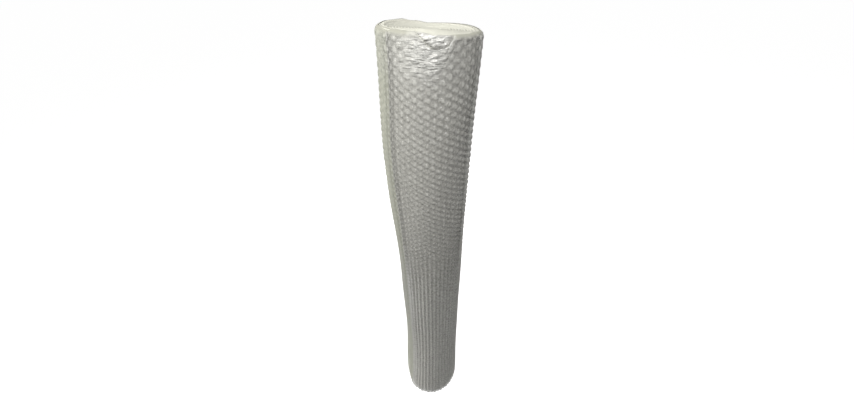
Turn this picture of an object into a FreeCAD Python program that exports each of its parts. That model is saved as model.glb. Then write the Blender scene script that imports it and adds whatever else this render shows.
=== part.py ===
"""A roll of small-bubble wrap standing on its end.

One web of bubble film is wound on itself with no core, bubbles outwards, and the roll stands upright.
The turns are one solid: a spiral outline with one ridge for each column of bubbles, a step where the
free end of the web lies on the turn below, and a spiral groove between the turns at both ends.
The winding is loose, so the roll has a waist, a fuller shoulder and a soft rim. It is wound askew: the
upper end slopes up to the front and the left, the last turns stand proud of it there and dip in a dent
at the front, and their lower edge clears the floor on the left.

Frame: millimetres, +Z up the roll, the floor at z = 0, the origin in the middle of the foot.
The front is towards -Y and the left towards -X. An azimuth is counted from the front, in degrees,
and is negative towards the left.
"""

import FreeCAD
import Part
import math
import os

# Web of bubble film
web_width = 1000.0
bubble_pitch = 11.3
turn_pitch = 4.2
ridge_height = 2.1

# Roll, over the tops of the bubbles
foot_radius = 75.0
waist_radius = 70.3
waist_bottom = 280.0
waist_top = 480.0
shoulder_radius = 78.2
shoulder_height = 860.0
rim_radius = 77.5

# How far the winding wanders from the origin along X
waist_shift = 1.2
shoulder_shift = -3.0
rim_shift = 2.0

# Free end of the web, where the last turn stops
free_end_azimuth = -52.0

# Rim: the last turns round the end of the roll. A station is an azimuth and the height over the web's
# width there.
rim_turns = 2
rim_round = 5.0
rim_stations = (
    (-180.0, -0.5),
    (-160.0, 3.5),
    (-140.0, 8.0),
    (-105.0, 10.0),
    (-60.0, 11.0),
    (-14.0, 11.5),
    (4.0, 8.0),
    (24.0, 6.5),
    (50.0, 4.5),
    (95.0, 0.8),
    (180.0, -0.5),
)
dent_depth = 11.0
dent_azimuth = 4.0
dent_spread = 22.0

# Upper end inside the rim: flat and sloping, so much up for each millimetre to the left and the front
end_rise = 2.0
end_slope_left = 0.060
end_slope_front = 0.063

# Lower edge of the last turn over the floor
edge_clearance = 1.0
edge_lift = 30.0
edge_lift_azimuth = -85.0
edge_lift_spread = 60.0

# Groove between the turns at both ends, in straight runs no further than groove_sag from the curve
groove_width = 1.6
groove_root = 0.4
groove_depth = 8.0
groove_sag = 0.7
core_radius = 7.0

# Columns of bubbles round the roll, in staggered rows
column_pitch = bubble_pitch * math.sqrt(3.0) / 2.0
mean_radius = (waist_radius + shoulder_radius) / 2.0
columns = round(2.0 * math.pi * mean_radius / column_pitch)

foot_turn = foot_radius - turn_pitch
end_radius = rim_radius - rim_turns * turn_pitch
end_height = web_width + end_rise


def hump(azimuth, centre, spread):
    """1 at the centre azimuth, falling smoothly to 0 at the spread on both sides."""
    away = abs((azimuth - centre + 180.0) % 360.0 - 180.0)
    return (1.0 + math.cos(math.pi * min(away / spread, 1.0))) / 2.0


def level(azimuth, radius):
    return 0.0


def rim_level(azimuth, radius):
    """Height of the rim over the web's width, eased from one station to the next."""
    azimuth = (azimuth + 180.0) % 360.0 - 180.0
    for (low, start), (high, end) in zip(rim_stations, rim_stations[1:]):
        if azimuth <= high:
            break
    rise = end + (start - end) * (1.0 + math.cos(math.pi * (azimuth - low) / (high - low))) / 2.0
    return rise - dent_depth * hump(azimuth, dent_azimuth, dent_spread)


def end_level(azimuth, radius):
    """Height of the sloping end over its middle."""
    a = math.radians(azimuth)
    return radius * (end_slope_front * math.cos(a) - end_slope_left * math.sin(a))


def edge_level(azimuth, radius):
    """Height of the last turn's lower edge over the floor."""
    return edge_clearance + edge_lift * hump(azimuth, edge_lift_azimuth, edge_lift_spread)


def winding(turns, radius, shift, z, height=level):
    """A point on the winding's spiral, so many turns in from the free end, where it has the radius.

    height is what each azimuth and radius add to z.
    """
    azimuth = free_end_azimuth - 360.0 * turns
    a = math.radians(azimuth)
    r = radius - turn_pitch * turns
    return FreeCAD.Vector(shift + r * math.sin(a), -r * math.cos(a), z + height(azimuth, r))


def ring(radius, z, shift, height=level, ridge=ridge_height):
    """One closed ring of the outline: an arc for each column of bubbles and the step at the free end.

    radius is over the ridges at the free end, and ridge is the height of the crests over the valleys.
    """

    def point(turns, crest):
        return winding(turns, radius - ridge + crest, shift, z, height)

    edges = []
    for i in range(columns):
        start = point(i / columns, 0.0)
        middle = point((i + 0.5) / columns, ridge)
        end = point((i + 1) / columns, 0.0)
        edges.append(Part.Arc(start, middle, end).toShape())
    edges.append(Part.makeLine(point(1.0, 0.0), point(0.0, 0.0)))
    return Part.Wire(edges)


def turns_body():
    """The turns as one closed solid: up the outside, over the rim and down to the sunk end."""
    rings = [
        ring(foot_turn, 0.0, 0.0, ridge=0.0),
        ring(foot_turn, 0.0, 0.0, edge_level, 0.0),
        ring(foot_radius, 0.0, 0.0, edge_level),
        ring(waist_radius, waist_bottom, waist_shift),
        ring(waist_radius, waist_top, waist_shift),
        ring(shoulder_radius, shoulder_height, shoulder_shift),
        ring(rim_radius, web_width - 2.0 * rim_round, rim_shift, rim_level),
        ring(rim_radius - rim_round, web_width, rim_shift, rim_level, 0.0),
        ring(end_radius, end_height, rim_shift, end_level, 0.0),
    ]
    return Part.makeLoft(rings, True, True)


def groove(radius, z, shift, inwards, height=level):
    """A cutter between the turns, from one turn inside the radius to the middle.

    Its mouth is in the end face at z and height, and inwards, 1 or -1, is the sense of Z into the roll.
    """
    last_turn = (radius - core_radius) / turn_pitch
    turns = [1.0]
    while turns[-1] < last_turn:
        r = radius - turn_pitch * turns[-1]
        turns.append(turns[-1] + math.sqrt(2.0 * groove_sag / r) / math.pi)

    def strip(width, at):
        """The groove's closed outline at one depth."""
        outside = [winding(t, radius + width / 2.0, shift, at, height) for t in turns]
        inside = [winding(t, radius - width / 2.0, shift, at, height) for t in reversed(turns)]
        return Part.makePolygon(outside + inside + outside[:1])

    flare = (groove_width - groove_root) / groove_depth
    over = 1.0
    mouth = strip(groove_width + flare * over, z - over * inwards)
    root = strip(groove_root, z + groove_depth * inwards)
    return Part.makeLoft([mouth, root], True, True)


if __name__ == "__main__":
    os.makedirs("parts", exist_ok=True)
    roll = turns_body()
    roll = roll.cut(groove(foot_turn, 0.0, 0.0, 1.0))
    roll = roll.cut(groove(end_radius, end_height, rim_shift, -1.0, end_level))
    print("solids", len(roll.Solids), "faces", len(roll.Faces), "valid", roll.isValid())
    print("volume", roll.Volume, "box", roll.BoundBox)
    roll.exportStep("parts/bubble_wrap_roll.step")
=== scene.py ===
import math
import bmesh
import bpy
import numpy as np
from mathutils import Matrix, Vector, noise


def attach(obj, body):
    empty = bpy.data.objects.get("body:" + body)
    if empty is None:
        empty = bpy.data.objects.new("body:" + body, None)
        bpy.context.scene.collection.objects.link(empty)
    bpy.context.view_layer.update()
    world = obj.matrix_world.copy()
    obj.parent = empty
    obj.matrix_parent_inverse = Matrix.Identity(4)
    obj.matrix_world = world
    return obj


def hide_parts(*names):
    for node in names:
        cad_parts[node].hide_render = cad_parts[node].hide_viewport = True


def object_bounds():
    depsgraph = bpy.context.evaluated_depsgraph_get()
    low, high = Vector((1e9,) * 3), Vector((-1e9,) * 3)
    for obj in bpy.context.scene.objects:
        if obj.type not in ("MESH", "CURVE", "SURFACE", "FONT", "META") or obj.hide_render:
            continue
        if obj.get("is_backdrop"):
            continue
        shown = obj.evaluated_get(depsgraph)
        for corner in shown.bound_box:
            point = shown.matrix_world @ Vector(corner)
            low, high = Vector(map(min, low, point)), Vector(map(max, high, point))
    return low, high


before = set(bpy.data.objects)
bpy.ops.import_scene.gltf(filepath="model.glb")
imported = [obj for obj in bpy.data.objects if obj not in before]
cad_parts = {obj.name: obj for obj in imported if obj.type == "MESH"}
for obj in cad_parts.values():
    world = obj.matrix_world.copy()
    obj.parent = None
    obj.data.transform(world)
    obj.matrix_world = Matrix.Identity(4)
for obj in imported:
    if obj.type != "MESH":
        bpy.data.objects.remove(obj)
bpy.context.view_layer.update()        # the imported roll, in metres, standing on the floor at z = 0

scene = bpy.context.scene


# Clear film
# Low-density polyethylene, blown as film: nearly clear, a little milky, with a soft gloss.
# One sheet shows what lies under it, and each bubble carries a small bright reflection, with a highlight
# painted on its tip as well.
def linear(code):
    """A hex sRGB colour as linear RGBA."""
    channels = [int(code[i : i + 2], 16) / 255.0 for i in (1, 3, 5)]
    return [c / 12.92 if c <= 0.04045 else ((c + 0.055) / 1.055) ** 2.4 for c in channels] + [1.0]


def add(tree, kind, settings={}, **inputs):
    """Adds one node with its settings, and sets or links its inputs by name, or by number as i0, i1."""
    made = tree.nodes.new(kind)
    for key, value in settings.items():
        setattr(made, key, value)
    for key, value in inputs.items():
        slot = made.inputs[int(key[1:]) if key[1:].isdigit() else key.replace("_", " ")]
        if isinstance(value, bpy.types.NodeSocket):
            tree.links.new(value, slot)
        else:
            slot.default_value = value
    return made


# painted colours on the film: shade in its valleys and other shaded places, a highlight on its bubble tips,
# light on its crumpled and bared places, and shade on its smooth bend over the rim
painted_shade_colour, painted_highlight_colour, painted_light_colour, rim_shade_colour = "#7C7B77", "#D4D3CC", "#DAD9D4", "#959489"

# the real sizes of the film's patterns, in millimetres
haze_size = 100.0 / 23.0          # milky clouds, 23 of them over 100 mm
wrinkle_size = 100.0 / 42.0       # fine wrinkles all over
fold_size = 12.5                  # folds along the web where it is crumpled
fold_narrowing = 4.5              # the folds are so much smaller across the web
wrinkle_depth, fold_depth = 0.5, 5.0


def film_material(name, pale, deep, land_alpha, dome_alpha, roughness):
    """Film that is clearer where it is flat than over a bubble.

    The meshes carry what differs from place to place as attributes: dome is the height on a bubble,
    whose tip gets a painted highlight; a shade mark paints shade into the film and pale paints light
    on it; soft is its bend over the rim, painted darker and made rougher; crumple its folds, and
    cover the least that it hides.
    """
    made = bpy.data.materials.new(name)
    made.use_nodes = True
    tree = made.node_tree
    tree.nodes.clear()
    place = add(tree, "ShaderNodeTexCoord").outputs["Object"]
    marks = {}
    for mark in ("dome", "painted_shade", "pale", "soft", "crumple", "cover"):
        marks[mark] = add(tree, "ShaderNodeAttribute", {"attribute_name": mark}).outputs["Fac"]

    haze = add(tree, "ShaderNodeTexNoise", Vector=place, Scale=1000.0 / haze_size, Detail=2.0).outputs["Fac"]
    grain = add(tree, "ShaderNodeMapRange", Value=haze, From_Min=0.36, From_Max=0.64).outputs["Result"]
    # painted shade, from the shade mark
    shaded = add(tree, "ShaderNodeMath", {"operation": "MULTIPLY"}, i0=marks["painted_shade"], i1=0.45).outputs[0]
    # a painted highlight on the tip of each bubble
    tip_highlight = add(
        tree, "ShaderNodeMapRange", Value=marks["dome"], From_Min=0.80, From_Max=1.0, To_Min=0.0, To_Max=0.60
    ).outputs["Result"]
    # where the film hides more, the painted highlights on its bubbles stand out less
    clear = add(
        tree, "ShaderNodeMapRange", Value=marks["cover"], From_Min=0.40, From_Max=0.80, To_Min=1.0,
        To_Max=0.30
    ).outputs["Result"]
    tip_highlight = add(tree, "ShaderNodeMath", {"operation": "MULTIPLY"}, i0=tip_highlight, i1=clear).outputs[0]
    colour = linear(deep)
    # the film's own milky clouds, then painted shade, painted highlights on the bubble tips, painted light
    # where it is crumpled or bared, and painted shade on its bend over the rim
    for share, over in (
        (grain, pale),
        (shaded, painted_shade_colour),
        (tip_highlight, painted_highlight_colour),
        (marks["pale"], painted_light_colour),
        (marks["soft"], rim_shade_colour),
    ):
        mixed = add(tree, "ShaderNodeMix", {"data_type": "RGBA"}, Factor=share, i6=colour, i7=linear(over))
        colour = mixed.outputs[2]

    opacity = add(
        tree, "ShaderNodeMapRange", Value=marks["dome"], From_Min=0.45, From_Max=1.0, To_Min=land_alpha,
        To_Max=dome_alpha
    )
    opacity = add(
        tree, "ShaderNodeMath", {"operation": "MAXIMUM"}, i0=opacity.outputs["Result"], i1=marks["cover"]
    )

    rough = add(
        tree, "ShaderNodeMapRange", Value=haze, From_Min=0.3, From_Max=0.7, To_Min=roughness * 0.8,
        To_Max=roughness * 1.25
    ).outputs["Result"]
    facing = add(tree, "ShaderNodeLayerWeight", Blend=0.5).outputs["Facing"]
    edgewise = add(tree, "ShaderNodeMapRange", Value=facing, From_Min=0.45, From_Max=0.85).outputs["Result"]
    for share, more in ((marks["soft"], 0.3), (edgewise, 0.45)):
        raised = add(tree, "ShaderNodeMath", {"operation": "MULTIPLY_ADD"}, i0=share, i1=more, i2=rough)
        rough = raised.outputs[0]

    wrinkles = add(tree, "ShaderNodeTexNoise", Vector=place, Scale=1000.0 / wrinkle_size, Detail=2.0)
    bump = add(
        tree, "ShaderNodeBump", Height=wrinkles.outputs["Fac"], Strength=0.25, Distance=wrinkle_depth / 1000.0
    )
    # the roll stands on its end, so Z is across the web
    narrow = (1.0, 1.0, fold_narrowing)
    across = add(tree, "ShaderNodeVectorMath", {"operation": "MULTIPLY"}, i0=place, i1=narrow).outputs[0]
    folds = add(
        tree, "ShaderNodeTexNoise", Vector=across, Scale=1000.0 / fold_size, Detail=2.0, Distortion=0.4
    ).outputs["Fac"]
    folds = add(tree, "ShaderNodeMath", {"operation": "MULTIPLY"}, i0=folds, i1=marks["crumple"]).outputs[0]
    bump = add(
        tree, "ShaderNodeBump", Height=folds, Normal=bump.outputs["Normal"], Strength=1.0,
        Distance=fold_depth / 1000.0
    )

    surface = add(
        tree,
        "ShaderNodeBsdfPrincipled",
        Base_Color=colour,
        Roughness=rough,
        IOR=1.51,
        Alpha=opacity.outputs[0],
        Normal=bump.outputs["Normal"],
        Specular_IOR_Level=0.25,
        Coat_Weight=0.05,
        Coat_Roughness=0.08,
    )
    add(tree, "ShaderNodeOutputMaterial", Surface=surface.outputs[0])
    return made


# Bubble film, laid flat
# Two welded layers: a hot drum with suction cups forms the bubbles in one, in staggered rows, and
# the flat one seals the air in. It is made here as it leaves the machine: one cell repeated on a
# flat sheet, X along the web from its free end, Y across the web and Z off the film.
web_width = 1.000
bubble_pitch = 0.0113
bubble_diameter = 0.0092
bubble_height = 0.0027
rows = round(web_width / bubble_pitch)
row_pitch = web_width / rows

turn_pitch = 0.0042
film_radius = 0.0705
columns_per_turn = 48
first_turn_length = 2.0 * math.pi * (film_radius - turn_pitch / 2.0)
column_pitch = first_turn_length / columns_per_turn
end_trim = 0.2 * column_pitch      # what is cut off the first column, so that the free end is straight
weld_distance = 0.0002


def cell_mesh(name, sides, profile):
    """One hexagon of film with its bubble, as rings of (share of the radius, share of the height)."""
    bm = bmesh.new()
    around = [2.0 * math.pi * i / sides for i in range(sides)]
    squeeze = column_pitch / (row_pitch * math.sqrt(3.0) / 2.0)
    land = []
    for a in around:
        off = abs(a % (math.pi / 3.0) - math.pi / 6.0)
        reach = row_pitch / 2.0 / math.cos(off)
        land.append(bm.verts.new((squeeze * reach * math.cos(a), reach * math.sin(a), 0.0)))
    rings = [land]
    for radius, height in profile:
        r, z = radius * bubble_diameter / 2.0, height * bubble_height
        rings.append([bm.verts.new((r * math.cos(a), r * math.sin(a), z)) for a in around])
    for outer, inner in zip(rings, rings[1:]):
        for i in range(sides):
            j = (i + 1) % sides
            bm.faces.new((outer[i], outer[j], inner[j], inner[i]))
    top = bm.verts.new((0.0, 0.0, bubble_height))
    for i in range(sides):
        bm.faces.new((rings[-1][i], rings[-1][(i + 1) % sides], top))
    mesh = bpy.data.meshes.new(name)
    bm.to_mesh(mesh)
    bm.free()
    dome = mesh.attributes.new("dome", "FLOAT", "POINT")
    dome.data.foreach_set("value", [v.co.z / bubble_height for v in mesh.vertices])
    return mesh


def film_tree():
    """Repeats the object's own mesh, one cell of film, over columns and rows of a flat sheet."""
    tree = bpy.data.node_groups.new("bubble film", "GeometryNodeTree")
    face = tree.interface
    for name, kind in (
        ("Cell", "NodeSocketGeometry"),
        ("Columns", "NodeSocketInt"),
        ("Rows", "NodeSocketInt"),
        ("First Column", "NodeSocketInt"),
        ("First Row", "NodeSocketInt"),
        ("Column Pitch", "NodeSocketFloat"),
        ("Row Pitch", "NodeSocketFloat"),
        ("Slackest Bubble", "NodeSocketFloat"),
        ("Seed", "NodeSocketInt"),
        ("Film", "NodeSocketMaterial"),
    ):
        face.new_socket(name, in_out="INPUT", socket_type=kind)
    face.new_socket("Sheet", in_out="OUTPUT", socket_type="NodeSocketGeometry")
    given = tree.nodes.new("NodeGroupInput").outputs
    out = tree.nodes.new("NodeGroupOutput")
    math_node = "ShaderNodeMath"
    plus, minus, times = {"operation": "ADD"}, {"operation": "SUBTRACT"}, {"operation": "MULTIPLY"}

    count = add(tree, math_node, times, i0=given["Columns"], i1=given["Rows"]).outputs[0]
    spots = add(tree, "GeometryNodePoints", Count=count).outputs[0]
    # the points run up one column after the other
    index = add(tree, "GeometryNodeInputIndex").outputs[0]
    middle = add(tree, math_node, plus, i0=index, i1=0.5).outputs[0]
    column = add(tree, math_node, {"operation": "DIVIDE"}, i0=middle, i1=given["Rows"]).outputs[0]
    column = add(tree, math_node, {"operation": "FLOOR"}, i0=column).outputs[0]
    earlier = add(tree, math_node, times, i0=column, i1=given["Rows"]).outputs[0]
    row = add(tree, math_node, minus, i0=index, i1=earlier).outputs[0]
    column = add(tree, math_node, plus, i0=column, i1=given["First Column"]).outputs[0]
    row = add(tree, math_node, plus, i0=row, i1=given["First Row"]).outputs[0]
    # every other column is half a row higher
    stagger = add(tree, math_node, {"operation": "MODULO"}, i0=column, i1=2.0).outputs[0]
    stagger = add(tree, math_node, times, i0=stagger, i1=0.5).outputs[0]
    x = add(tree, math_node, plus, i0=column, i1=0.5).outputs[0]
    x = add(tree, math_node, times, i0=x, i1=given["Column Pitch"]).outputs[0]
    y = add(tree, math_node, plus, i0=row, i1=stagger).outputs[0]
    y = add(tree, math_node, times, i0=y, i1=given["Row Pitch"]).outputs[0]
    place = add(tree, "ShaderNodeCombineXYZ", X=x, Y=y).outputs[0]
    spots = add(tree, "GeometryNodeSetPosition", Geometry=spots, Position=place).outputs[0]
    # some bubbles hold less air than others
    slack = add(
        tree, "FunctionNodeRandomValue", {"data_type": "FLOAT"}, i2=given["Slackest Bubble"], i3=1.0,
        Seed=given["Seed"]
    )
    size = add(tree, "ShaderNodeCombineXYZ", X=1.0, Y=1.0, Z=slack.outputs[1]).outputs[0]
    cells = add(
        tree, "GeometryNodeInstanceOnPoints", Points=spots, Instance=given["Cell"], Scale=size
    ).outputs[0]
    sheet = add(tree, "GeometryNodeRealizeInstances", Geometry=cells).outputs[0]
    sheet = add(tree, "GeometryNodeMergeByDistance", Geometry=sheet, Distance=weld_distance).outputs[0]
    sheet = add(tree, "GeometryNodeSetShadeSmooth", Geometry=sheet).outputs[0]
    sheet = add(tree, "GeometryNodeSetMaterial", Geometry=sheet, Material=given["Film"]).outputs[0]
    tree.links.new(sheet, out.inputs[0])
    return tree


film = film_tree()


def flat_web(name, cell, columns, web_rows, slackest, seed, material, folds_from_rim=()):
    """A flat stretch of film as a plain mesh, cut straight where it passes the web's edges.

    folds_from_rim are the distances from the web's upper edge at which its faces are divided.
    """
    sheet = bpy.data.objects.new(name, cell)
    scene.collection.objects.link(sheet)
    modifier = sheet.modifiers.new("bubble film", "NODES")
    modifier.node_group = film
    values = {
        "Columns": columns[1] - columns[0],
        "Rows": web_rows[1] - web_rows[0],
        "First Column": columns[0],
        "First Row": web_rows[0],
        "Column Pitch": column_pitch,
        "Row Pitch": row_pitch,
        "Slackest Bubble": slackest,
        "Seed": seed,
        "Film": material,
    }
    for item in film.interface.items_tree:
        if item.in_out == "INPUT" and item.name in values:
            modifier[item.identifier] = values[item.name]
    depsgraph = bpy.context.evaluated_depsgraph_get()
    mesh = bpy.data.meshes.new_from_object(sheet.evaluated_get(depsgraph))
    sheet.modifiers.remove(modifier)
    sheet.data = mesh
    mesh.name = name

    # a plane, the side of it that goes, and whether anything goes
    planes = [((0.0, 0.0, 0.0), (0.0, -1.0, 0.0), True), ((0.0, web_width, 0.0), (0.0, 1.0, 0.0), True)]
    if columns[0] == 0:
        planes.append(((end_trim, 0.0, 0.0), (-1.0, 0.0, 0.0), True))
    planes += [((0.0, web_width - fold, 0.0), (0.0, 1.0, 0.0), False) for fold in folds_from_rim]
    bm = bmesh.new()
    bm.from_mesh(mesh)
    for point, outwards, cut in planes:
        whole = bm.verts[:] + bm.edges[:] + bm.faces[:]
        bmesh.ops.bisect_plane(bm, geom=whole, plane_co=point, plane_no=outwards, clear_outer=cut)
    bm.to_mesh(mesh)
    bm.free()
    return sheet


# Winding
# The web is wound from its inner end outwards, so the free end lies on the outside. The winding is
# loose: it has a waist, a fuller shoulder and a soft rim, and wanders a little to the side. An azimuth
# is counted from the front in degrees, negative towards the left.
free_end_azimuth = -52.0
total_turns = 15.6
bend_turns = (2.2, 3.4)            # the last turns bend over the rim, and those inside them don't

# the roll's radius and how far it wanders along X, as (height, value)
radius_stations = ((0.0, 0.0785), (0.280, 0.0712), (0.480, 0.0712), (0.860, 0.0790), (1.0, 0.0783))
shift_stations = ((0.0, 0.0), (0.280, 0.0012), (0.480, 0.0005), (0.810, -0.0038), (1.0, 0.0019))

# the last turns' upper edge over 1 m, as (azimuth, rise), and the even slope of the turns inside them
rim_stations = (
    (-180.0, -0.0005), (-160.0, 0.0035), (-140.0, 0.0080), (-105.0, 0.0100), (-60.0, 0.0110), (-14.0, 0.0115),
    (4.0, 0.0080), (24.0, 0.0065), (50.0, 0.0045), (95.0, 0.0008), (180.0, -0.0005)
)
end_rise, end_slope_left, end_slope_front = 0.0035, 0.060, 0.063
slope_turns = (2.2, 4.5)
end_unevenness = 0.0003
inner_drop = 0.0007                # the turns under the last two lie so much lower

# how far down from the rim its rise, its bend and the dent reach
rise_reach, bend_reach, dent_reach = 0.040, 0.030, 0.024

# the radius of the bend over the rim, what it has more on the soft left, and what it has less in the dent
rim_bend, soft_bend, dent_bend = 0.0055, 0.0035, 0.0035
soft_azimuth, soft_spread = -40.0, 45.0

# the azimuths between which the dent goes down on its left and up again on its right, and its depth
dent_left, dent_right = (-18.0, 1.0), (13.0, 26.0)
dent_depth, dent_inwards, dent_inwards_reach = 0.0140, 0.0015, 0.012

# the last turn's lower edge clears the floor on the left, and the foot flares at the front left
edge_lift, edge_lift_azimuth, edge_lift_spread, floor_gap = 0.030, -85.0, 60.0, 0.0006
foot_flare, flare_azimuth, flare_spread, flare_height = 0.0075, -32.0, 62.0, 0.11

# crumpled film reaches so far down from the rim, with wide and fine folds, as (along, across) the web
crumple_reach = 0.026
wide_fold, fine_fold = (0.020, 0.0055), (0.009, 0.0040)
fold_height = 0.0009
girth_radius = 0.075               # for the length along the web that an azimuth stands for

# the lengths of web over which the free end's bubbles are flat and it lies down on the turn below
flat_lengths, drop_lengths = (0.020, 0.065), (-0.004, 0.042)
free_end_drop = 0.0038
pressed_reach = 0.011              # its edge presses the turn below so far to both sides

# the heights over which ridges and grooves below give way to single, slacker bubbles above
merged_heights, groove_heights, slack_heights = (0.45, 0.85), (0.5, 0.85), (0.55, 0.85)
column_groove = 0.0006


def eased(z, stations):
    """The stations' value at each height, along a smooth S from one station to the next."""
    value = np.full_like(z, stations[0][1])
    for (z0, v0), (z1, v1) in zip(stations, stations[1:]):
        share = np.clip((z - z0) / (z1 - z0), 0.0, 1.0)
        value = value + (v1 - v0) * (1.0 - np.cos(np.pi * share)) / 2.0
    return value


def hump(azimuth, centre, spread):
    """1 at the centre azimuth, falling smoothly to 0 at the spread on both sides."""
    away = np.abs((azimuth - centre + 180.0) % 360.0 - 180.0)
    return (1.0 + np.cos(np.pi * np.minimum(away / spread, 1.0))) / 2.0


def bell(x, width):
    """1 where x is 0, falling smoothly on both sides, to about a third at the width."""
    return np.exp(-np.square(x / width))


def azimuth_to_front(azimuth):
    """The azimuth from -180 to 180 degrees, with the front at 0."""
    return (azimuth + 180.0) % 360.0 - 180.0


def step(x, low, high):
    """0 below low, 1 above high and smooth between."""
    share = np.clip((x - low) / (high - low), 0.0, 1.0)
    return share * share * (3.0 - 2.0 * share)


def speckle(points, seed):
    """Smooth noise of about -1 to 1 at each point."""
    offset = Vector((seed * 7.3, seed * 3.1, seed * 5.7))
    return np.array([noise.noise(Vector(p) + offset) for p in points.tolist()])


def turns_at(along):
    """How many turns in from the free end a length of web reaches."""
    return (film_radius - np.sqrt(np.maximum(film_radius**2 - turn_pitch * along / np.pi, 1e-6))) / turn_pitch


def length_at(turns):
    """The length of web in so many turns."""
    return 2.0 * math.pi * (film_radius * turns - turn_pitch * turns * turns / 2.0)


def dent_at(azimuth):
    """How deep an azimuth lies in the last turn's dent, from 0 to 1: its left side is the flatter one."""
    azimuth = azimuth_to_front(azimuth)
    return step(azimuth, *dent_left) * (1.0 - step(azimuth, *dent_right))


def end_level(turns, azimuth):
    """How far a turn's upper end stands above 1 m: the last turns have the rim's rise, the others a slope."""
    rim = eased(azimuth_to_front(azimuth), rim_stations)
    a = np.radians(azimuth)
    r = film_radius - turn_pitch * turns
    slope = end_rise + r * (end_slope_front * np.cos(a) - end_slope_left * np.sin(a))
    inner = step(turns, *slope_turns)
    return rim * (1.0 - inner) + slope * inner


def dent_drop(turns, azimuth):
    """How far the dent lowers a turn's upper end."""
    return dent_depth * dent_at(azimuth) * (turns < 1.0)


def rim_roundness(turns, azimuth):
    """The radius of the film's bend over the rim: soft on the left, tight at the dent and further in."""
    radius = rim_bend + soft_bend * hump(azimuth, soft_azimuth, soft_spread)
    radius = radius - dent_bend * dent_at(azimuth) * (turns < 1.0)
    return radius * (1.0 - 0.65 * step(turns, 0.85, 1.25))


def rise(turns, azimuth, across):
    """The height of the film's points, the radius of its bend over the rim and how far it has turned."""
    a = np.radians(azimuth)
    from_rim = web_width - across
    bends = 1.0 - step(turns, *bend_turns)
    lift = edge_lift * hump(azimuth, edge_lift_azimuth, edge_lift_spread) * (turns < 0.5) + floor_gap
    ragged = speckle(np.stack([2.2 * np.cos(a), 2.2 * np.sin(a), 1.3 * turns], 1), 4)
    level = end_level(turns, azimuth) + (1.0 - bends) * end_unevenness * ragged
    level = level - inner_drop * step(turns, 1.95, 2.1)

    bend = rim_roundness(turns, azimuth)
    quarter = np.pi / 2.0
    bent = np.clip(bend * quarter - from_rim, 0.0, None) * bends
    turned = bent / bend
    z = lift + (web_width - lift) * (across - bent) / web_width + level * bell(from_rim, rise_reach)
    z = z - dent_drop(turns, azimuth) * bell(from_rim, dent_reach)
    z = z + bend * np.sin(turned) + bends * bend * (quarter - 1.0) * bell(from_rim, bend_reach)
    return z, bend, turned


def crumples(turns, azimuth, z, from_rim):
    """How crumpled the film is, from 0 to 1, and its folds there.

    The last turns were pushed down below the rim and left of the dent, so they lie in flat folds.
    """
    near = bell(np.maximum(from_rim - crumple_reach, 0.0), crumple_reach)
    side = np.minimum(0.15 + 0.75 * hump(azimuth, -3.0, 34.0) + 0.40 * hump(azimuth, -25.0, 50.0), 1.0)
    crushed = near * side * (1.0 - step(turns, 2.0, 3.0))
    mask = crushed > 0.01
    fold = np.zeros_like(z)
    if mask.any():
        girth = girth_radius * np.radians(azimuth[mask])
        layer = 0.7 * np.floor(turns[mask])
        wide = speckle(np.stack([girth / wide_fold[0], z[mask] / wide_fold[1], layer], 1), 1)
        fine = speckle(np.stack([girth / fine_fold[0], z[mask] / fine_fold[1], layer], 1), 2)
        fold[mask] = 0.75 * (1.0 - 4.0 * np.abs(wide)) + 0.5 * fine
    return crushed, fold


# the azimuths where the dent's crease and the folds round it start and end
crease_left, crease_right = (-3.0, 6.0), (21.0, 27.0)
folded_left, folded_right = (-30.0, -12.0), (14.0, 28.0)

# the shadow on the turn below: the azimuths where it starts and its height over the dented edge
shadow_left, shadow_height, shadow_reach = (-9.0, 3.0), 0.0004, 0.0020

# painted shade: stripes between the columns, the waist, its left side, and beside the free end, where its
# shadow would fall
stripe_heights = (0.6, 0.9)
waist_height, waist_reach = 0.42, 0.20
left_side_height, left_side_reach, left_side_turns = 0.46, 0.13, 0.25
free_end_shadow_reach = 0.028

# where the film hides more: its welded edges, low down, and at the roll's two sides
welded_widths, hazy_heights, side_azimuths = (0.004, 0.012), (0.40, 0.85), (48.0, 66.0)


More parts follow.
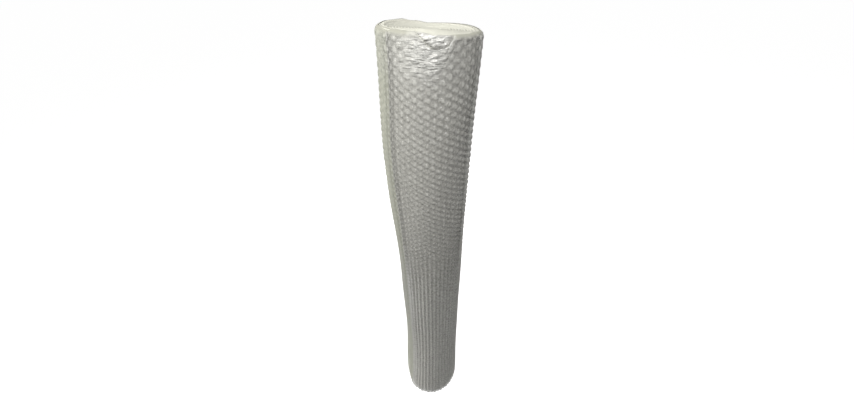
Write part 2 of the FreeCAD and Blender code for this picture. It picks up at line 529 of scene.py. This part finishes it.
def film_marks(along, across, turns, azimuth, z, turned, crushed, groove):
    """What the film's shader is told about each point, as film_material says."""
    from_rim = web_width - across
    front = azimuth_to_front(azimuth)
    first, second = turns < 1.0, (turns > 1.0) * (turns < 2.0)
    dented = dent_at(azimuth)

    # the film that is bent over the rim is smooth, apart from the dent and its crease
    over = np.minimum(turned / 0.9, 1.0)
    smooth = over * (1.0 - step(front, *folded_left) * (1.0 - step(front, *folded_right)))
    crease = over * step(front, *crease_left) * (1.0 - step(front, *crease_right)) * first
    bared = dented * second * step(z, 0.985, 0.995)

    # a shadow lies in the gap over the dented turn, on the turn below
    dented_edge = web_width + end_level(np.zeros_like(z), azimuth) - dent_drop(np.zeros_like(z), azimuth)
    gap = bell(z - dented_edge - shadow_height, shadow_reach)
    gap = gap * step(front, *shadow_left) * np.minimum(1.6 * dented, 1.0) * (turns < 2.0)

    # painted shade: the film is darker between its columns, round the waist, on its left side, beside the
    # free end where its shadow falls, and in the crease
    waist = bell(z - waist_height, waist_reach)
    painted_shade = groove * (0.38 - 0.18 * step(z, *stripe_heights)) + 0.30 * waist + 1.8 * gap
    painted_shade = painted_shade + 0.6 * bell(z - left_side_height, left_side_reach) * (turns < left_side_turns)
    free_end_shadow = bell(first_turn_length - along, free_end_shadow_reach) * (turns < 1.2)
    painted_shade = painted_shade + (0.45 + 0.55 * waist) * free_end_shadow + 2.0 * crease

    # it has painted light where it is crumpled or bare, but not on its bend, the crease and the shadow
    pale = np.maximum(0.8 * crushed, bared) * (1.0 - np.minimum(1.5 * gap + crease, 1.0))
    pale = pale * (1.0 - 0.8 * over)

    # it hides more where it is pale, bent or welded along its edges, low down, and at the sides
    welded = 1.0 - step(np.minimum(across, from_rim), *welded_widths)
    low = 1.0 - step(z, *hazy_heights)
    side = step(np.abs(front), *side_azimuths)
    cover = np.maximum.reduce([pale, over, 0.9 * welded, 0.82 * low, 0.85 * side])
    # soft paints shade on the film's bend over the rim and makes it rougher
    return {
        "crumple": crushed * (1.0 - smooth),
        "pale": pale,
        "painted_shade": painted_shade,
        "cover": cover,
        "soft": np.maximum(smooth, 0.55 * over) * (1.0 - 0.5 * bared) * (1.0 - crease),
    }


def wind(along, across, off):
    """Where the points of a flat web lie on the roll, and the marks its film has there."""
    turns = turns_at(along)
    azimuth = free_end_azimuth - 360.0 * turns
    a = np.radians(azimuth)
    from_rim = web_width - across
    bends = 1.0 - step(turns, *bend_turns)
    z, bend, turned = rise(turns, azimuth, across)
    crushed, fold = crumples(turns, azimuth, z, from_rim)

    # bubbles are flatter where the film is crumpled or bent, and at the end of the inner turns
    off = off * (1.0 - 0.65 * crushed) * (1.0 - 0.9 * np.minimum(1.4 * turned, 1.0))
    off = off * (1.0 - 0.6 * (1.0 - bends) * bell(from_rim, 0.010))

    # the free end's bubbles are pressed flat, and so are those of the turn below along its edge
    flat = 0.70 * (1.0 - step(along, *flat_lengths))
    off = off * (1.0 - flat) + bubble_height * flat
    beside = bell(first_turn_length - along, pressed_reach) * (turns < 1.2)
    off = off * (1.0 - 0.8 * beside) + 0.75 * bubble_height * beside

    # low down the bubbles of a column are pressed into one soft ridge
    groove = (1.0 + np.cos(2.0 * np.pi * along / column_pitch)) / 2.0 * (1.0 - beside)
    merged = 0.65 * (1.0 - step(z, *merged_heights))
    off = off * (1.0 - merged) + bubble_height * (1.0 - 0.65 * groove) * merged
    slack = 1.0 - 0.35 * step(z, *slack_heights)

    r = eased(z, radius_stations) - bubble_height * slack - turn_pitch * turns + off * slack
    r = r - column_groove * groove * (1.0 - 0.75 * step(z, *groove_heights))
    r = r - free_end_drop * (1.0 - step(along, *drop_lengths))
    flare = foot_flare * hump(azimuth, flare_azimuth, flare_spread) * np.maximum(1.0 - turns / 8.0, 0.0)
    r = r + flare * (1.0 - step(z, 0.0, flare_height))
    # the last turns are not quite round
    r = r + bends * 0.0006 * np.sin(3.0 * a + 7.0 * z + 1.0) + bends * 0.0005 * np.sin(5.0 * a - 23.0 * z)
    r = r + fold_height * crushed * fold
    r = r - dent_inwards * dent_at(azimuth) * (turns < 1.0) * bell(from_rim, dent_inwards_reach)
    r = r - bend * (1.0 - np.cos(turned))
    x = eased(z, shift_stations) + r * np.sin(a)
    marks = film_marks(along, across, turns, azimuth, z, turned, crushed, groove)
    return np.stack([x, -r * np.cos(a), z], 1), marks


def wound(sheet):
    """Winds a flat sheet's mesh onto the roll and joins it to the frame."""
    mesh = sheet.data
    flat = np.empty(len(mesh.vertices) * 3)
    mesh.vertices.foreach_get("co", flat)
    flat = flat.reshape(-1, 3)
    points, marks = wind(flat[:, 0], flat[:, 1], flat[:, 2])
    mesh.vertices.foreach_set("co", points.astype(np.float32).ravel())
    for name, values in marks.items():
        layer = mesh.attributes.new(name, "FLOAT", "POINT")
        layer.data.foreach_set("value", values.astype(np.float32))
    mesh.flip_normals()
    mesh.update()
    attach(sheet, "root")
    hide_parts("bubble_wrap_roll")
    return sheet


# Last turn
# The turn that shows, with its bubbles outwards, in three lengths of the one web: clear film with a
# bright spot on each bubble, partly a painted highlight. Its lower edge clears the floor on the left.
clear_film = film_material(
    "polyethylene film", pale="#CBCAC4", deep="#A2A19B", land_alpha=0.40, dome_alpha=0.60, roughness=0.16
)
fine_cell = cell_mesh("bubble", 12, ((1.0, 0.0), (0.9, 0.29), (0.68, 0.65), (0.36, 0.91)))
loose_columns = 5
thirds = (0, rows // 3, 2 * rows // 3, rows + 1)

# the faces below the rim are divided at these distances from it, so that they can bend and fold
fine_division, coarse_division, fine_reach = 0.0013, 0.0026, 0.0130
rim_folds = [fine_division * (i + 1) for i in range(10)]
rim_folds += [fine_reach + coarse_division * (i + 1) for i in range(8)]

for name, low, high in zip(("foot", "waist", "shoulder"), thirds, thirds[1:]):
    span = (loose_columns, columns_per_turn)
    divided = rim_folds if name == "shoulder" else ()
    sheet = flat_web(
        f"last_turn_{name}", fine_cell, span, (low, high), slackest=0.88, seed=1, material=clear_film,
        folds_from_rim=divided
    )
    wound(sheet)


# Free end
# The last columns of the web. They lie straight down the left side of the roll, on the turn below, and
# look smoother and greener than the rest, because more film lies on film there.
loose_film = film_material(
    "polyethylene film, free end", pale="#B6B7A9", deep="#A5A699", land_alpha=0.60, dome_alpha=0.72,
    roughness=0.30
)
sheet = flat_web(
    "free_end", fine_cell, (0, loose_columns), (0, rows + 1), slackest=0.85, seed=5, material=loose_film,
    folds_from_rim=rim_folds
)
wound(sheet)


# Turn below
# The next turn of the web, seen through the last one and bare where the last one is dented. What lies
# under it makes it milky.
under_film = film_material(
    "polyethylene film, second turn", pale="#BCBBB5", deep="#9C9B95", land_alpha=0.92, dome_alpha=0.95,
    roughness=0.20
)
coarse_cell = cell_mesh("bubble, plain", 6, ((0.98, 0.0), (0.80, 0.60), (0.45, 0.90)))
second_turn = int(length_at(2.0) / column_pitch) + 1
below = (columns_per_turn, second_turn)
sheet = flat_web(
    "turn_below", coarse_cell, below, (0, rows + 1), slackest=0.85, seed=2, material=under_film,
    folds_from_rim=rim_folds
)
wound(sheet)


# Turns at the two ends
# Every turn's edge shows in the ends of the roll, cut straight through the bubbles. A cut edge gathers
# light in the film, so it looks dense and creamy.
end_film = film_material(
    "polyethylene film, cut edges", pale="#B9B8AD", deep="#B2B1A6", land_alpha=0.95, dome_alpha=0.97,
    roughness=0.4
)
end_cell = cell_mesh("bubble, cut", 8, ((0.98, 0.0), (0.70, 0.85)))
last_column = int(length_at(total_turns) / column_pitch)
end_rows = 2
for name, span in (("top", (rows - end_rows, rows + 1)), ("foot", (0, end_rows))):
    sheet = flat_web(
        f"turns_{name}", end_cell, (second_turn, last_column), span, slackest=0.8, seed=3, material=end_film
    )
    wound(sheet)


# Inner turns
# The turns under the first two, pressed together: only a milky mass shows through the film. The
# upper end is closed: the edges of the turns lie on each other in soft ridges.
inner_foot, inner_height, cap_height = 0.0008, 0.9892, 0.984
side_gap_turns, side_sink = 0.05, 0.004
cap_ridge, cap_sink = 0.0005, 0.0001
# the cap's outer edge tucks under the second turn's bend: (turns outwards, how far down)
cap_edge = ((0.85, 0.0018), (0.85, 0.0003), (0.75, 0.0))


def inner_turns():
    """One closed body of revolution that follows the winding, with its upper end in ridges."""
    around, levels, end_rings = 96, 48, 84
    azimuths = free_end_azimuth - 360.0 * np.arange(around) / around
    side_turns = 2.0 + np.arange(around) / around
    grid = []
    for i in range(levels + 1):
        z = np.full(around, inner_foot + inner_height * i / levels)
        z = z + (end_level(side_turns, azimuths) - side_sink) * bell(web_width - z, rise_reach)
        grid.append((side_turns + side_gap_turns, z))
    for back, down in cap_edge:
        grid.append((side_turns - back, web_width - down + end_level(side_turns, azimuths)))
    for i in range(1, end_rings + 1):
        turns = side_turns + (total_turns - 1.0 - side_turns) * i / end_rings
        ridge = cap_ridge * np.cos(2.0 * np.pi * (turns + azimuths / 360.0))
        grid.append((turns, web_width - cap_sink + end_level(turns, azimuths) - ridge))
    bm = bmesh.new()
    rings = []
    for turns, z in grid:
        r = eased(z, radius_stations) - bubble_height - turn_pitch * turns
        x = eased(z, shift_stations) + r * np.sin(np.radians(azimuths))
        y = -r * np.cos(np.radians(azimuths))
        rings.append([bm.verts.new(p) for p in np.stack([x, y, z], 1).tolist()])
    for lower, upper in zip(rings, rings[1:]):
        for j in range(around):
            k = (j + 1) % around
            bm.faces.new((lower[k], lower[j], upper[j], upper[k]))
    bm.faces.new(rings[-1][::-1])
    bm.faces.new(rings[0])
    bmesh.ops.recalc_face_normals(bm, faces=bm.faces)
    mesh = bpy.data.meshes.new("inner_turns")
    bm.to_mesh(mesh)
    bm.free()
    mesh.materials.append(film_material("polyethylene, many turns", "#9C9B94", "#92918A", 1.0, 1.0, 0.5))
    mesh.materials.append(film_material("polyethylene, turns end on", "#B9B8AD", "#B2B1A6", 1.0, 1.0, 0.5))
    for p in mesh.polygons:
        p.use_smooth = len(p.vertices) == 4
        p.material_index = int(p.center.z > cap_height)
    return bpy.data.objects.new("inner_turns", mesh)


inner = inner_turns()
scene.collection.objects.link(inner)
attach(inner, "root")
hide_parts("bubble_wrap_roll")


# Studio
# A pale floor that runs to the horizon. A large lamp on the left and a soft one overhead light the
# roll, a small one at the front gives the sparkle under the rim, a low one lights the foot from the
# left, and one behind the roll keeps its back readable in other views.
def lamp(name, place, target, width, height, power, colour):
    """A rectangular lamp turned to its target, with its size in metres and its power in watts."""
    data = bpy.data.lights.new(name, "AREA")
    data.shape = "RECTANGLE"
    data.size, data.size_y = width, height
    data.energy = power
    data.color = linear(colour)[:3]
    lamp_object = bpy.data.objects.new(name, data)
    lamp_object.location = place
    lamp_object.rotation_euler = (Vector(target) - Vector(place)).to_track_quat("-Z", "Y").to_euler()
    scene.collection.objects.link(lamp_object)


lamp("left_lamp", (-1.10, -0.25, 1.50), (0.0, 0.0, 0.75), 1.0, 1.0, 17.0, "#FFFFFB")
lamp("front_lamp", (-0.02, -0.80, 1.50), (0.0, 0.0, 0.90), 0.22, 0.22, 8.7, "#FFFFFF")
lamp("top_lamp", (0.05, -0.10, 2.00), (0.0, 0.0, 1.0), 0.5, 0.5, 7.2, "#FFFFFF")
lamp("foot_lamp", (-0.42, -0.05, 0.06), (0.0, 0.0, 0.05), 0.2, 0.10, 0.47, "#FFFFFF")
lamp("back_lamp", (0.0, 1.35, 0.40), (0.0, 0.0, 0.40), 1.0, 0.7, 10.0, "#FFFFFB")


def seen_rays(tree):
    """1 for the rays that look, straight, in a mirror or through glass, and 0 for those that light."""
    rays = add(tree, "ShaderNodeLightPath").outputs
    shown = rays["Is Camera Ray"]
    for kind in ("Is Glossy Ray", "Is Transmission Ray"):
        shown = add(tree, "ShaderNodeMath", {"operation": "MAXIMUM"}, i0=shown, i1=rays[kind]).outputs[0]
    return shown


# background and floor are seen as white, but light the roll as a dim room and a grey floor
white = (1.0, 1.0, 1.0, 1.0)
world = bpy.data.worlds.new("studio")
scene.world = world
world.use_nodes = True
tree = world.node_tree
tree.nodes.clear()
room = add(tree, "ShaderNodeBackground", Color=linear("#F6F6EC"), Strength=0.02)
backdrop = add(tree, "ShaderNodeBackground", Color=white, Strength=1.0)
blend = add(tree, "ShaderNodeMixShader", Fac=seen_rays(tree), i1=room.outputs[0], i2=backdrop.outputs[0])
add(tree, "ShaderNodeOutputWorld", Surface=blend.outputs[0])

floor_mesh = bpy.data.meshes.new("floor")
half = 30.0
corners = [(-half, -half, 0.0), (half, -half, 0.0), (half, half, 0.0), (-half, half, 0.0)]
floor_mesh.from_pydata(corners, [], [(0, 1, 2, 3)])
floor = bpy.data.objects.new("floor", floor_mesh)
scene.collection.objects.link(floor)
floor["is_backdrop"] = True
paint = bpy.data.materials.new("white floor")
paint.use_nodes = True
tree = paint.node_tree
tree.nodes.clear()
matt = add(tree, "ShaderNodeBsdfDiffuse", Color=linear("#A8A8A8"))
shade = add(tree, "ShaderNodeBsdfDiffuse", Color=linear("#B0B0B0"))
glow = add(tree, "ShaderNodeEmission", Color=white, Strength=0.985)
shown_floor = add(tree, "ShaderNodeAddShader", i0=shade.outputs[0], i1=glow.outputs[0])
both = add(tree, "ShaderNodeMixShader", Fac=seen_rays(tree), i1=matt.outputs[0], i2=shown_floor.outputs[0])
add(tree, "ShaderNodeOutputMaterial", Surface=both.outputs[0])
floor_mesh.materials.append(paint)


# Camera
# The photograph looks down on the roll from close by, through a wide lens held slightly askew. The
# camera's place, lens and tilt follow from the outline of the roll in it.
photo_width, focal_length = 854.0, 324.7     # in pixels
look_down, roll_left = 38.47, 1.0            # in degrees
camera_data = bpy.data.cameras.new("camera")
camera_data.sensor_width = 36.0
camera_data.lens = focal_length * camera_data.sensor_width / photo_width
camera_data.clip_start, camera_data.clip_end = 0.05, 100.0
camera = bpy.data.objects.new("camera", camera_data)
pitch, lean = math.radians(90.0 - look_down), math.radians(-roll_left)
camera.rotation_euler = (Matrix.Rotation(pitch, 3, "X") @ Matrix.Rotation(lean, 3, "Z")).to_euler()
camera.location = (-0.007, -0.509, 1.0925)
scene.collection.objects.link(camera)
scene.camera = camera
scene.view_settings.view_transform = "Standard"

low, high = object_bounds()
